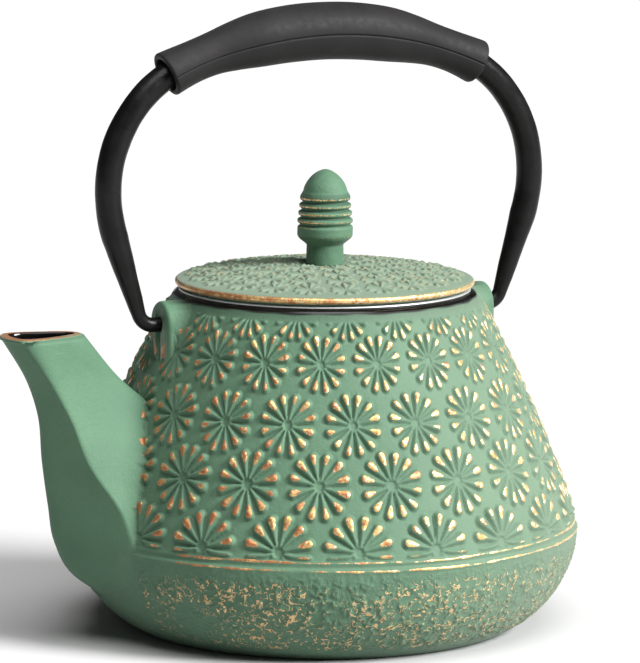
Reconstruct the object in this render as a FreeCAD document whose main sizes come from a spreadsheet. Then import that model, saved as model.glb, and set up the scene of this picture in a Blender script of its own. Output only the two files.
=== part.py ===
import FreeCAD, Part

# Cast iron teapot: a spouted pot with two shoulder lugs, a domed lid with a turned knob,
# a steel infuser basket hung in the mouth, and an arched bail with a soft grip.
# Millimetres, +Z up, origin at the centre of the foot.  The spout points along -X and the
# bail hinges about the X axis line through both lugs.

import math
import os

import Sketcher
from FreeCAD import Placement, Rotation, Vector

SIZES = [
    # pot
    ("foot_radius", 57.0, "flat disc that the pot stands on"),
    ("belly_radius", 77.5, "widest circle of the body"),
    ("belly_height", 30.0, "height of the widest circle"),
    ("belly_arc", 35.0, "radius of the outline from foot to belly"),
    ("shoulder_arc", 480.0, "radius of the outline from belly to mouth"),
    ("shoulder_radius", 46.0, "outer radius where the shoulder meets the lip"),
    ("shoulder_height", 101.6, "height of that edge"),
    ("lip_radius", 44.6, "outer radius of the bare lip"),
    ("lip_height", 102.6, "top of the lip"),
    ("mouth_radius", 38.0, "bore of the mouth"),
    ("lip_depth", 3.5, "thickness of the flange round the mouth"),
    ("iron_wall", 3.2, "thickness of the cast wall"),
    ("floor_thickness", 4.0, "thickness of the cast floor"),
    # spout
    ("spout_wall", 2.7, "thickness of the spout's wall"),
    ("free_height", 60.0, "height above which the spout stands clear of the body"),
    ("passage_back", 2.2, "least half width of the passage at its back"),
    # lugs and hinge
    ("hinge_height", 94.8, "height of the bail's hinge line"),
    ("lug_reach", 55.0, "distance of a lug's outer face from the axis"),
    ("lug_radius", 7.0, "rounded top of a lug, and half its width"),
    ("lug_root", 40.0, "inner end of a lug, inside the wall"),
    ("lug_drop", 19.0, "length of a lug below the hinge line"),
    ("hole_radius", 2.28, "blind hole that takes the hooked end of the bail"),
    ("hole_end", 48.6, "distance of the hole's bottom from the axis"),
    # bail
    ("hook_radius", 2.2, "rod of the hooked end"),
    ("hook_tip", 50.0, "inner end of the rod"),
    ("hook_start", 56.2, "where the rod begins to bend up"),
    ("hook_bend", 5.0, "radius of that bend"),
    ("leg_radius", 4.0, "tube of the leg"),
    ("leg_reach", 70.8, "distance of the leg from the axis at its widest"),
    ("leg_height", 135.6, "height of the widest place"),
    ("leg_arc", 45.0, "radius of the leg below its widest place"),
    ("corner_arc", 39.5, "radius of the arch's corner"),
    ("arch_arc", 125.0, "radius of the arch under the grip"),
    ("arch_height", 181.0, "height of the arch's centre line at the top"),
    ("end_play", 0.8, "how far the bail sits toward the spout in its lugs"),
    # grip
    ("grip_bore", 4.05, "bore of the sleeve"),
    ("grip_mouth", 5.2, "wider bore at the sleeve's ends"),
    ("grip_mouth_depth", 3.0, "depth of that wider bore"),
    # infuser
    ("rim_outer", 44.4, "outer radius of the infuser's flange"),
    ("rim_thickness", 0.9, "thickness of the flange"),
    ("basket_radius", 35.0, "outer radius of the mesh wall"),
    ("mesh_thickness", 0.45, "thickness of the mesh"),
    ("collar_thickness", 0.5, "thickness of the collar round the mesh"),
    ("collar_depth", 6.0, "depth of the collar below the flange"),
    ("basket_floor", 50.0, "height of the basket's underside"),
    ("foot_ring_height", 3.0, "height of the ring crimped round the basket's floor"),
    # lid
    ("lid_radius", 45.6, "widest circle of the lid's bead"),
    ("lid_under_radius", 43.4, "outer edge of the flat that rests on the flange"),
    ("lid_edge_radius", 45.2, "radius of the bead's lower edge"),
    ("lid_edge_height", 0.9, "height of that edge above that flat"),
    ("bead_mid_height", 1.75, "height of the bead's widest circle above that flat"),
    ("bead_top_height", 2.7, "height of the bead's top above that flat"),
    ("bead_top_radius", 44.5, "radius of the bead's top edge"),
    ("lid_crown", 6.7, "height of the lid's top above that flat"),
    ("lid_dome", 225.0, "radius of the dome"),
    ("lid_wall", 3.3, "thickness of the lid"),
    ("skirt_radius", 33.8, "outer radius of the locating skirt under the lid"),
    ("skirt_thickness", 3.0, "thickness of the skirt"),
    ("skirt_depth", 5.0, "depth of the skirt"),
    ("seat_radius", 6.4, "flat on the lid's top that takes the knob"),
    ("bolt_hole", 2.7, "clearance hole through the lid"),
    # knob and its fastener
    ("neck_radius", 5.6, "neck of the knob"),
    ("neck_height", 6.0, "height of the neck"),
    ("flare_height", 2.4, "flare between the neck and the barrel"),
    ("barrel_radius", 8.45, "barrel of the knob"),
    ("barrel_height", 3.2, "plain part of the barrel below the ribs"),
    ("rib_radius", 8.35, "lowest rib"),
    ("rib_step", 0.25, "how much smaller each rib is than the one below it"),
    ("groove_start", 0.4, "from the foot of a rib to the bottom of its groove"),
    ("groove_end", 0.9, "from the foot of a rib to where the groove's bottom ends"),
    ("rib_start", 1.3, "from the foot of a rib to its full radius"),
    ("rib_pitch", 2.3, "distance between the knob's ribs"),
    ("rib_depth", 0.7, "depth of the grooves between the ribs"),
    ("cap_radius", 6.7, "foot of the knob's pointed cap"),
    ("cap_height", 6.6, "height of that cap"),
    ("cap_arc", 9.5, "radius of the cap's outline"),
    ("cap_point", 1.2, "small flat at the cap's point"),
    ("knob_height", 28.8, "whole height of the knob"),
    ("thread_radius", 2.1, "screw, cut into the knob"),
    ("thread_reach", 9.0, "depth of the tapped hole in the knob"),
    ("thread_gap", 0.5, "room left past the end of the screw"),
    ("head_radius", 4.6, "head of the screw"),
    ("head_height", 2.8, "height of that head"),
    ("head_edge", 1.2, "chamfer round the head"),
    ("washer_radius", 5.6, "washer under the lid"),
    ("washer_thickness", 1.0, "thickness of the washer"),
]

# Level sections of the spout, from its root in the belly up to the tip: height, distance of
# the keel from the axis, then the side ridge (distance, half width) and the back (the same).
SPOUT_PARTS = ("height", "keel", "ridge", "ridge_width", "back", "back_width")
SPOUT_SECTIONS = [
    (12.0, 70.5, 62.0, 15.0, 52.0, 15.0),
    (20.0, 82.0, 70.0, 22.5, 52.0, 22.0),
    (31.0, 88.4, 73.5, 23.5, 54.0, 22.0),
    (42.0, 90.3, 76.0, 20.5, 55.0, 20.0),
    (56.0, 92.2, 83.5, 14.5, 56.0, 16.0),
    (70.0, 94.0, 88.0, 11.0, 58.5, 5.5),
    (80.0, 97.4, 91.5, 9.8, 69.0, 3.5),
    (94.0, 105.4, 97.0, 9.2, 80.6, 4.0),
]

# Sleeve of the grip: angle along the arch from its top, in degrees, and the outer radius there.
GRIP_PARTS = ("angle", "radius")
GRIP_SECTIONS = [(0, 8.7), (6, 8.6), (10.5, 8.2), (14, 7.3), (17, 6.5), (20, 6.3), (24.6, 6.9)]


class Size:
    """A number together with the sheet expression that gives it."""

    def __init__(self, number, text):
        self.number = number
        self.text = text

    def _join(self, other, sign, number):
        text = other.text if isinstance(other, Size) else repr(other)
        return Size(number, "(%s %s %s)" % (self.text, sign, text))

    def __add__(self, other):
        return self._join(other, "+", self.number + plain(other))

    def __sub__(self, other):
        return self._join(other, "-", self.number - plain(other))

    def __mul__(self, other):
        return self._join(other, "*", self.number * plain(other))

    def __neg__(self):
        return self * -1


def plain(size):
    return size.number if isinstance(size, Size) else float(size)


def section_sizes(kind, parts, sections):
    """Rows for the sheet, one for each number of a list of sections."""
    return [("%s_%s_%d" % (kind, part, row), float(number), "section %d of the %s" % (row, kind))
            for row, section in enumerate(sections) for part, number in zip(parts, section)]


def sections_of(s, kind, parts, sections):
    """The same sections as sizes from the sheet."""
    return [tuple(s["%s_%s_%d" % (kind, part, row)] for part in parts)
            for row in range(len(sections))]


def make_sheet(doc):
    sheet = doc.addObject("Spreadsheet::Sheet", "sizes")
    sizes = SIZES + section_sizes("spout", SPOUT_PARTS, SPOUT_SECTIONS)
    sizes += section_sizes("grip", GRIP_PARTS, GRIP_SECTIONS)
    for row, (alias, number, note) in enumerate(sizes, start=1):
        sheet.set("A%d" % row, alias.replace("_", " "))
        sheet.set("B%d" % row, str(number))
        sheet.setAlias("B%d" % row, alias)
        sheet.set("C%d" % row, note)
    doc.recompute()
    return {alias: Size(number, "sizes." + alias) for alias, number, _ in sizes}


def bind(thing, prop, size):
    """Tie one property to the sheet; a bare number is set as it is."""
    thing.setExpression(prop, size.text if isinstance(size, Size) else repr(size))


# ---------------------------------------------------------------- sketches and features

def new_body(doc, label):
    body = doc.addObject("PartDesign::Body", label)
    body.Label = label
    return body


def sketch_on(body, role, name, offset=None):
    """An empty sketch on one of the body's own origin planes, lifted by offset."""
    plane = [part for part in body.Origin.OriginFeatures if part.Role == role][0]
    sketch = body.newObject("Sketcher::SketchObject", name)
    sketch.AttachmentSupport = [(plane, "")]
    sketch.MapMode = "FlatFace"
    if offset is not None:
        bind(sketch, "AttachmentOffset.Base.z", offset)
    return sketch


def arc_between(start, end, radius, turn):
    """Arc from start to end; turn is +1 where its centre is to the left of the way."""
    chord = end - start
    half = chord.Length / 2
    side = Vector(-chord.y, chord.x, 0).normalize() * turn
    centre = (start + end) * 0.5 + side * math.sqrt(radius ** 2 - half ** 2)
    first, last = (start, end) if turn > 0 else (end, start)
    angle_from = math.atan2(first.y - centre.y, first.x - centre.x)
    angle_to = math.atan2(last.y - centre.y, last.x - centre.x)
    if angle_to < angle_from:
        angle_to += 2 * math.pi
    return Part.ArcOfCircle(Part.Circle(centre, Vector(0, 0, 1), radius), angle_from, angle_to)


def outline(sketch, corners):
    """Close a chain of lines and arcs through corners (x, y) or (x, y, radius, turn).

    A corner that carries a radius starts an arc.  Every corner's place and every radius is
    a constraint bound to the sheet.
    """
    points = [Vector(plain(c[0]), plain(c[1]), 0) for c in corners]
    starts, ends = [], []
    for index, corner in enumerate(corners):
        after = points[(index + 1) % len(points)]
        if len(corner) == 2:
            starts.append((sketch.addGeometry(Part.LineSegment(points[index], after)), 1))
            ends.append((starts[-1][0], 2))
        else:
            arc = arc_between(points[index], after, plain(corner[2]), corner[3])
            number = sketch.addGeometry(arc)
            starts.append((number, 1 if corner[3] > 0 else 2))
            ends.append((number, 2 if corner[3] > 0 else 1))
            held = sketch.addConstraint(Sketcher.Constraint("Radius", number, plain(corner[2])))
            bind(sketch, "Constraints[%d]" % held, corner[2])
    for index, corner in enumerate(corners):
        before = ends[index - 1]
        sketch.addConstraint(Sketcher.Constraint("Coincident", *before, *starts[index]))
        for kind, axis, size in (("DistanceX", -2, corner[0]), ("DistanceY", -1, corner[1])):
            if plain(size) == 0:
                sketch.addConstraint(Sketcher.Constraint("PointOnObject", *starts[index], axis))
                continue
            rule = Sketcher.Constraint(kind, -1, 1, *starts[index], plain(size))
            held = sketch.addConstraint(rule)
            bind(sketch, "Constraints[%d]" % held, size)


def disc(sketch, x, y, radius):
    """One circle, its centre and radius bound to the sheet."""
    centre = Vector(plain(x), plain(y), 0)
    number = sketch.addGeometry(Part.Circle(centre, Vector(0, 0, 1), plain(radius)))
    held = sketch.addConstraint(Sketcher.Constraint("Radius", number, plain(radius)))
    bind(sketch, "Constraints[%d]" % held, radius)
    for kind, axis, size in (("DistanceX", -2, x), ("DistanceY", -1, y)):
        if plain(size) == 0:
            sketch.addConstraint(Sketcher.Constraint("PointOnObject", number, 3, axis))
            continue
        held = sketch.addConstraint(Sketcher.Constraint(kind, -1, 1, number, 3, plain(size)))
        bind(sketch, "Constraints[%d]" % held, size)


def turned(body, name, corners, kind="Revolution"):
    """Turn an outline in the XZ plane round the Z axis, to add or to cut."""
    sketch = sketch_on(body, "XZ_Plane", name + "_outline")
    outline(sketch, corners)
    feature = body.newObject("PartDesign::" + kind, name)
    feature.Profile = (sketch, [""])
    feature.ReferenceAxis = (sketch, ["V_Axis"])
    feature.Angle = 360
    return feature


def lofted(body, name, sketches, kind):
    feature = body.newObject("PartDesign::" + kind, name)
    feature.Profile = (sketches[0], [""])
    feature.Sections = [(sketch, [""]) for sketch in sketches[1:]]
    feature.Ruled = True
    return feature


def padded(body, name, sketch, length, kind="Pad"):
    feature = body.newObject("PartDesign::" + kind, name)
    feature.Profile = (sketch, [""])
    bind(feature, "Length", length)
    return feature


# ---------------------------------------------------------------- the pieces

def pot_casting(doc, s):
    """Body, spout and both lugs, cast in one."""
    body = new_body(doc, "pot_casting")
    turned(body, "shell", [
        (0, 0),
        (s["foot_radius"], 0, s["belly_arc"], 1),
        (s["belly_radius"], s["belly_height"], s["shoulder_arc"], 1),
        (s["shoulder_radius"], s["shoulder_height"]),
        (s["lip_radius"], s["lip_height"]),
        (0, s["lip_height"]),
    ])
    sections = sections_of(s, "spout", SPOUT_PARTS, SPOUT_SECTIONS)
    lofted(body, "spout", spout_sketches(body, "spout", sections), "AdditiveLoft")

    for side, name in ((-1, "spout_side"), (1, "far_side")):
        start = s["lug_root"] if side > 0 else -s["lug_reach"]
        sketch = sketch_on(body, "YZ_Plane", "lug_outline_" + name, start)
        radius, middle = s["lug_radius"], s["hinge_height"]
        outline(sketch, [
            (radius, middle, radius, 1),
            (0, middle + radius, radius, 1),
            (-radius, middle),
            (-radius, middle - s["lug_drop"]),
            (radius, middle - s["lug_drop"]),
        ])
        padded(body, "lug_" + name, sketch, s["lug_reach"] - s["lug_root"])

    wall, inner_lip = s["iron_wall"], s["lip_height"] - s["lip_depth"]
    turned(body, "cavity", [
        (0, s["floor_thickness"]),
        (s["foot_radius"], s["floor_thickness"], s["belly_arc"] - wall, 1),
        (s["belly_radius"] - wall, s["belly_height"], s["shoulder_arc"] - wall, 1),
        (s["shoulder_radius"] - wall, inner_lip),
        (s["mouth_radius"], inner_lip),
        (s["mouth_radius"], s["lip_height"] + 1),
        (0, s["lip_height"] + 1),
    ], kind="Groove")

    # The passage keeps the spout's wall, and where the spout has merged with the body
    # (up to free_height) its back runs on into the cavity.
    wall = s["spout_wall"]
    inner = []
    for height, keel, ridge, width, back, back_width in sections[1:]:
        free = plain(height) > plain(s["free_height"])
        narrow = back_width - wall * 0.9
        narrow = narrow if plain(narrow) > plain(s["passage_back"]) else s["passage_back"]
        inner.append((height if inner else height + wall * 2, keel - wall * 1.3,
                      ridge - wall * 0.6, width - wall, back + wall if free else back - wall * 2,
                      narrow))
    tip = inner[-1]
    inner.append((tip[0] + 1,) + tip[1:])
    lofted(body, "passage", spout_sketches(body, "passage", inner), "SubtractiveLoft")

    for side, name in ((-1, "spout_side"), (1, "far_side")):
        start = s["hole_end"] if side > 0 else -s["lug_reach"] - 1
        sketch = sketch_on(body, "YZ_Plane", "hole_outline_" + name, start)
        disc(sketch, 0, s["hinge_height"], s["hole_radius"])
        hole = padded(body, "hole_" + name, sketch, s["lug_reach"] + 1 - s["hole_end"], "Pocket")
        hole.Reversed = True
    return body


def spout_sketches(body, name, sections):
    """Five-sided level sections: keel, side ridges and back."""
    sketches = []
    for number, (height, keel, ridge, width, back, back_width) in enumerate(sections):
        sketch = sketch_on(body, "XY_Plane", "%s_section_%d" % (name, number), height)
        outline(sketch, [(-keel, 0), (-ridge, -width), (-back, -back_width),
                         (-back, back_width), (-ridge, width)])
        sketches.append(sketch)
    return sketches


def lid_casting(doc, s):
    """Domed lid with a round bead at its edge and a skirt that drops into the basket."""
    flat = s["lip_height"] + s["rim_thickness"]
    body = new_body(doc, "lid_casting")
    inside = s["skirt_radius"] - s["skirt_thickness"]
    turned(body, "dome", [
        (s["bolt_hole"], flat + s["lid_crown"] - s["lid_wall"]),
        (s["seat_radius"], flat + s["lid_crown"] - s["lid_wall"], s["lid_dome"], -1),
        (inside, flat + 0.2),
        (inside, flat - s["skirt_depth"]),
        (s["skirt_radius"], flat - s["skirt_depth"]),
        (s["skirt_radius"], flat),
        (s["lid_under_radius"], flat),
        (s["lid_edge_radius"], flat + s["lid_edge_height"]),
        (s["lid_radius"], flat + s["bead_mid_height"]),
        (s["bead_top_radius"], flat + s["bead_top_height"], s["lid_dome"], 1),
        (s["seat_radius"], flat + s["lid_crown"]),
        (s["bolt_hole"], flat + s["lid_crown"]),
    ])
    return body


def lid_knob(doc, s):
    """Turned knob: neck, barrel, four ribs and a pointed cap, tapped from below."""
    foot = s["lip_height"] + s["rim_thickness"] + s["lid_crown"]
    barrel = foot + s["neck_height"] + s["flare_height"]
    corners = [
        (s["neck_radius"], foot),
        (s["neck_radius"], foot + s["neck_height"]),
        (s["barrel_radius"], barrel),
        (s["barrel_radius"], barrel + s["barrel_height"]),
    ]
    for rib in range(4):
        low = barrel + s["barrel_height"] + s["rib_pitch"] * rib
        radius = s["rib_radius"] - s["rib_step"] * rib
        corners += [
            (radius - s["rib_depth"], low + s["groove_start"]),
            (radius - s["rib_depth"], low + s["groove_end"]),
            (radius, low + s["rib_start"]),
            (radius, low + s["rib_pitch"]),
        ]
    top = foot + s["knob_height"]
    corners += [
        (s["cap_radius"], top - s["cap_height"], s["cap_arc"], 1),
        (s["cap_point"], top),
        (0, top),
        (0, foot + s["thread_reach"]),
        (s["thread_radius"], foot + s["thread_reach"]),
        (s["thread_radius"], foot),
    ]
    body = new_body(doc, "lid_knob")
    turned(body, "profile", corners)
    return body


def knob_fastener(doc, s):
    """Washer and pan-head screw that hold the knob from inside the lid."""
    under = s["lip_height"] + s["rim_thickness"] + s["lid_crown"] - s["lid_wall"]
    foot = under + s["lid_wall"]
    washer = new_body(doc, "knob_washer")
    turned(washer, "disc", [
        (s["bolt_hole"], under - s["washer_thickness"]),
        (s["washer_radius"], under - s["washer_thickness"]),
        (s["washer_radius"], under),
        (s["bolt_hole"], under),
    ])
    head = under - s["washer_thickness"]
    screw = new_body(doc, "knob_screw")
    turned(screw, "shank_and_head", [
        (0, head - s["head_height"]),
        (s["head_radius"] - s["head_edge"], head - s["head_height"]),
        (s["head_radius"], head - s["head_height"] + s["head_edge"]),
        (s["head_radius"], head),
        (s["thread_radius"], head),
        (s["thread_radius"], foot + s["thread_reach"] - s["thread_gap"]),
        (0, foot + s["thread_reach"] - s["thread_gap"]),
    ])
    return washer, screw


def infuser(doc, s):
    """Flange with a collar, mesh wall, mesh floor and the ring crimped round the floor."""
    lip, radius, mesh = s["lip_height"], s["basket_radius"], s["mesh_thickness"]
    collar = s["collar_thickness"]

    rim = new_body(doc, "infuser_rim")
    turned(rim, "flange", [
        (radius, lip - s["collar_depth"]),
        (radius + collar, lip - s["collar_depth"]),
        (radius + collar, lip),
        (s["rim_outer"], lip),
        (s["rim_outer"], lip + s["rim_thickness"]),
        (radius, lip + s["rim_thickness"]),
    ])

    wall = new_body(doc, "infuser_mesh_wall")
    turned(wall, "tube", [
        (radius - mesh, s["basket_floor"] + mesh),
        (radius, s["basket_floor"] + mesh),
        (radius, lip),
        (radius - mesh, lip),
    ])

    floor = new_body(doc, "infuser_mesh_floor")
    turned(floor, "plate", [
        (0, s["basket_floor"]),
        (radius, s["basket_floor"]),
        (radius, s["basket_floor"] + mesh),
        (0, s["basket_floor"] + mesh),
    ])

    ring = new_body(doc, "infuser_foot_ring")
    turned(ring, "band", [
        (radius, s["basket_floor"]),
        (radius + collar, s["basket_floor"]),
        (radius + collar, s["basket_floor"] + s["foot_ring_height"]),
        (radius, s["basket_floor"] + s["foot_ring_height"]),
    ])
    return rim, wall, floor, ring


# ---------------------------------------------------------------- the bail and its grip

def arch_points(s):
    """Centres and angles where the bail's arcs meet, on the +X side."""
    arch = Vector(0, 0, plain(s["arch_height"]) - plain(s["arch_arc"]))
    corner = Vector(plain(s["leg_reach"]) - plain(s["corner_arc"]), 0, plain(s["leg_height"]))
    leg = Vector(plain(s["leg_reach"]) - plain(s["leg_arc"]), 0, plain(s["leg_height"]))
    reach = corner - arch
    meet = math.degrees(math.atan2(reach.z, reach.x))
    return arch, corner, leg, meet


def bent_bar(doc, name, centre, bend, bar, start, sweep):
    """Part of a torus in the XZ plane, from the angle start through sweep degrees."""
    torus = doc.addObject("Part::Torus", name)
    bind(torus, "Radius1", bend)
    bind(torus, "Radius2", bar)
    torus.Angle3 = sweep
    upright = Rotation(Vector(1, 0, 0), 90)
    torus.Placement = Placement(centre, upright * Rotation(Vector(0, 0, 1), start))
    return torus


def ring_at(doc, name, centre, bend, angle, radius):
    """A circle across the arc of that centre and bend radius, at that angle."""
    ring = doc.addObject("Part::Circle", name)
    bind(ring, "Radius", radius)
    turn = math.radians(angle)
    place = centre + Vector(math.cos(turn), 0, math.sin(turn)) * bend
    along = Vector(-math.sin(turn), 0, math.cos(turn))
    ring.Placement = Placement(place, Rotation(Vector(0, 0, 1), along))
    return ring


def joined(doc, name, shapes):
    fuse = doc.addObject("Part::MultiFuse", name)
    fuse.Shapes = shapes
    return fuse


def loft_of(doc, name, rings):
    loft = doc.addObject("Part::Loft", name)
    loft.Sections = rings
    loft.Solid = True
    return loft


def mirrored(doc, name, source):
    copy = doc.addObject("Part::Mirroring", name)
    copy.Source = source
    copy.Normal = Vector(1, 0, 0)
    return copy


def leg_end(s):
    """Centre of the hook's bend, and the angle at which a straight taper touches both the
    leg's arc and that bend.
    """
    _, _, leg, _ = arch_points(s)
    bend = Vector(plain(s["hook_start"]), 0, plain(s["hinge_height"] + s["hook_bend"]))
    way = bend - leg
    lean = math.acos(plain(s["leg_arc"] - s["hook_bend"]) / way.Length)
    return bend, math.degrees(math.atan2(way.z, way.x) + lean)


def bail(doc, s):
    """Arched tube whose legs taper to rods, bent inward into the lugs' holes."""
    arch, corner, leg, meet = arch_points(s)
    bend, angle = leg_end(s)
    top = bent_bar(doc, "bail_top", arch, s["arch_arc"], s["leg_radius"], meet, 180 - 2 * meet)
    side = [
        bent_bar(doc, "bail_corner", corner, s["corner_arc"], s["leg_radius"], 0, meet),
        bent_bar(doc, "bail_leg", leg, s["leg_arc"], s["leg_radius"], angle, -angle),
        bent_bar(doc, "bail_hook", bend, s["hook_bend"], s["hook_radius"], -90, 90 + angle),
    ]
    out = Vector(math.cos(math.radians(angle)), 0, math.sin(math.radians(angle)))
    upper, lower = leg + out * plain(s["leg_arc"]), bend + out * plain(s["hook_bend"])
    taper = doc.addObject("Part::Cone", "bail_taper")
    bind(taper, "Radius1", s["leg_radius"])
    bind(taper, "Radius2", s["hook_radius"])
    taper.Height = (lower - upper).Length
    taper.Placement = Placement(upper, Rotation(Vector(0, 0, 1), lower - upper))
    rod = doc.addObject("Part::Cylinder", "bail_rod")
    bind(rod, "Radius", s["hook_radius"])
    bind(rod, "Height", s["hook_start"] - s["hook_tip"])
    rod.Placement = Placement(Vector(plain(s["hook_tip"]), 0, plain(s["hinge_height"])),
                              Rotation(Vector(0, 1, 0), 90))
    side += [taper, rod]

    half = joined(doc, "bail_side", side)
    piece = joined(doc, "bail_handle", [top, half, mirrored(doc, "bail_other_side", half)])
    bind(piece, "Placement.Base.x", -s["end_play"])
    return piece


def grip(doc, s):
    """Soft sleeve round the arch, fuller in the middle, with wider mouths at its ends."""
    arch, _, _, _ = arch_points(s)
    bend = plain(s["arch_arc"])
    half = sections_of(s, "grip", GRIP_PARTS, GRIP_SECTIONS)
    places = [(90 + plain(angle), radius) for angle, radius in half[::-1]]
    places += [(90 - plain(angle), radius) for angle, radius in half[1:]]
    rings = [ring_at(doc, "grip_ring_%d" % number, arch, bend, angle, radius)
             for number, (angle, radius) in enumerate(places)]
    sleeve = loft_of(doc, "grip_sleeve", rings)
    end = plain(half[-1][0])
    bore = bent_bar(doc, "grip_bore_bar", arch, s["arch_arc"], s["grip_bore"],
                    90 - end - 2, 2 * (end + 2))
    depth = math.degrees(plain(s["grip_mouth_depth"]) / bend)
    mouths = [bent_bar(doc, "grip_mouth_bar_%d" % number, arch, s["arch_arc"],
                       s["grip_mouth"], start, depth + 2)
              for number, start in enumerate((90 - end - 2, 90 + end - depth))]
    hollow = joined(doc, "grip_hollow", [bore] + mouths)
    piece = doc.addObject("Part::Cut", "handle_grip")
    piece.Base = sleeve
    piece.Tool = hollow
    bind(piece, "Placement.Base.x", -s["end_play"])
    return piece


# ---------------------------------------------------------------- build, check and write

def main():
    doc = FreeCAD.newDocument("teapot")
    s = make_sheet(doc)
    pieces = [pot_casting(doc, s), lid_casting(doc, s), lid_knob(doc, s)]
    pieces += knob_fastener(doc, s)
    pieces += infuser(doc, s)
    pieces += [bail(doc, s), grip(doc, s)]
    doc.recompute()

    for thing in doc.Objects:
        bad = [state for state in thing.State if state in ("Invalid", "Error")]
        if bad:
            raise RuntimeError("%s is %s" % (thing.Name, bad))
    os.makedirs("parts", exist_ok=True)
    for piece in pieces:
        shape = piece.Shape
        if shape.isNull() or not shape.isValid():
            raise RuntimeError(piece.Label + " has no valid shape")
        print("%-20s solids %d  volume %9.1f  box %s" % (
            piece.Label, len(shape.Solids), shape.Volume, shape.BoundBox))
        shape.exportStep("parts/%s.step" % piece.Label)


main()
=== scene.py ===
import math

import bmesh
import bpy
import numpy as np
from mathutils import Matrix, Vector, noise


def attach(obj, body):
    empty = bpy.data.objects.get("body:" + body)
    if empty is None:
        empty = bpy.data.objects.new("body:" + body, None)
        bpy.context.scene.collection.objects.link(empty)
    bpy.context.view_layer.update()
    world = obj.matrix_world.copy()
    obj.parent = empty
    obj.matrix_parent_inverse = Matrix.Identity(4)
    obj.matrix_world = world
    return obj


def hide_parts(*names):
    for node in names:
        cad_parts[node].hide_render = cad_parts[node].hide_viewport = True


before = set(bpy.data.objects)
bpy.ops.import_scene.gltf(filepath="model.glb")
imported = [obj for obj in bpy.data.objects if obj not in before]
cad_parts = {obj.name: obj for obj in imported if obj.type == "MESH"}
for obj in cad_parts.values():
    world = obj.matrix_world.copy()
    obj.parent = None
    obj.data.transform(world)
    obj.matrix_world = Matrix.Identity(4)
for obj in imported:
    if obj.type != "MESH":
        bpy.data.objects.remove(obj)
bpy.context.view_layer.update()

MM = 0.001

# ---------------------------------------------------------------- sizes, in millimetres
# The body's outline, from the foot over the belly to the lip.
FOOT_RADIUS = 57.0
BELLY_RADIUS, BELLY_HEIGHT, BELLY_ARC = 77.5, 30.0, 35.0
SHOULDER_RADIUS, SHOULDER_HEIGHT, SHOULDER_ARC = 46.0, 101.6, 480.0
LIP_RADIUS, LIP_HEIGHT, LIP_DEPTH = 44.6, 102.6, 3.5
MOUTH_RADIUS = 38.0
IRON_WALL, FLOOR = 3.2, 4.0

HINGE_HEIGHT = 94.8
LUG_REACH, LUG_ROOT, LUG_RADIUS, LUG_DROP = 55.0, 43.5, 7.0, 19.0
HOLE_RADIUS, HOLE_END = 2.28, 48.6
SLOT_WIDTH, SLOT_DEPTH, SLOT_LENGTH = 0.9, 0.9, 11.0    # the groove below each hole

# Star relief: height of each row's centres, how far its petals reach up and down, and
# whether a star stands right over the spout or half a pitch beside it.
STARS_ROUND = 20
PETALS = 12
STAR_ROWS = [(100.9, 8.4, 0.0), (87.4, 9.1, 0.5), (70.6, 9.8, 0.0), (53.8, 10.5, 0.5),
             (35.4, 11.1, 0.0)]
STAR_WIDTH = 0.87       # of half the pitch
PETAL_HEIGHT = 1.15     # on a star of the usual reach
USUAL_REACH = 9.0
# A petal as shares of its star's reach: where it starts and ends, and its half width at the
# start and how much that grows to the end.
PETAL_START, PETAL_END, PETAL_WAIST, PETAL_FLARE = 0.17, 0.865, 0.038, 0.122
RELIEF_TOP, RELIEF_FOOT = 99.2, 33.4
# The two beads round the widest place: height above it, how far they stand out, and a key.
BEADS = ((2.6, 0.34, 0.0), (0.3, 0.40, 5.0))
GROOVE, GROOVE_DEPTH = 1.45, 0.3
ROUGHNESS = 0.55        # how far the worms of the rough band stand out

# Level sections of the spout: height, keel, side ridge (distance, half width), back (the same),
# and how far its corners are rounded off, from 0, sharp, to 1.
SPOUT_SECTIONS = [
    (12.0, 70.5, 62.0, 15.0, 52.0, 15.0, 0.5),
    (20.0, 82.0, 70.0, 22.5, 52.0, 22.0, 0.35),
    (31.0, 88.8, 73.5, 23.5, 54.0, 22.0, 0.1),
    (42.0, 90.9, 76.0, 20.5, 55.0, 20.0, 0.08),
    (56.0, 92.9, 83.5, 14.5, 56.0, 16.0, 0.08),
    (70.0, 94.2, 88.0, 11.0, 58.5, 5.5, 0.12),
    (80.0, 97.4, 92.8, 9.5, 69.0, 3.5, 0.26),
    (94.0, 105.4, 100.5, 8.8, 80.4, 5.0, 0.72),
]
SPOUT_WALL = 2.7
SECTION_STEP = 1.6

# Bail and grip.
HOOK_RADIUS, HOOK_TIP, HOOK_START, HOOK_BEND = 2.2, 50.0, 56.2, 5.0
LEG_RADIUS, LEG_REACH, LEG_HEIGHT, LEG_ARC = 4.0, 70.8, 135.6, 45.0
CORNER_ARC, ARCH_ARC, ARCH_HEIGHT, END_PLAY = 39.5, 125.0, 181.0, 0.8
# The grip's radius at angles along the arch from its middle, in degrees.
GRIP_SECTIONS = [(0, 8.7), (6, 8.6), (10.5, 8.2), (14, 7.3), (17, 6.5), (20, 6.3), (24.6, 6.9)]
GRIP_BORE, GRIP_MOUTH, GRIP_MOUTH_DEPTH = 4.05, 5.2, 3.0
GRIP_SLIT, SLIT_DEPTH = -94.0, 0.55     # the angle of the slit round the sleeve, and its depth

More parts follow.
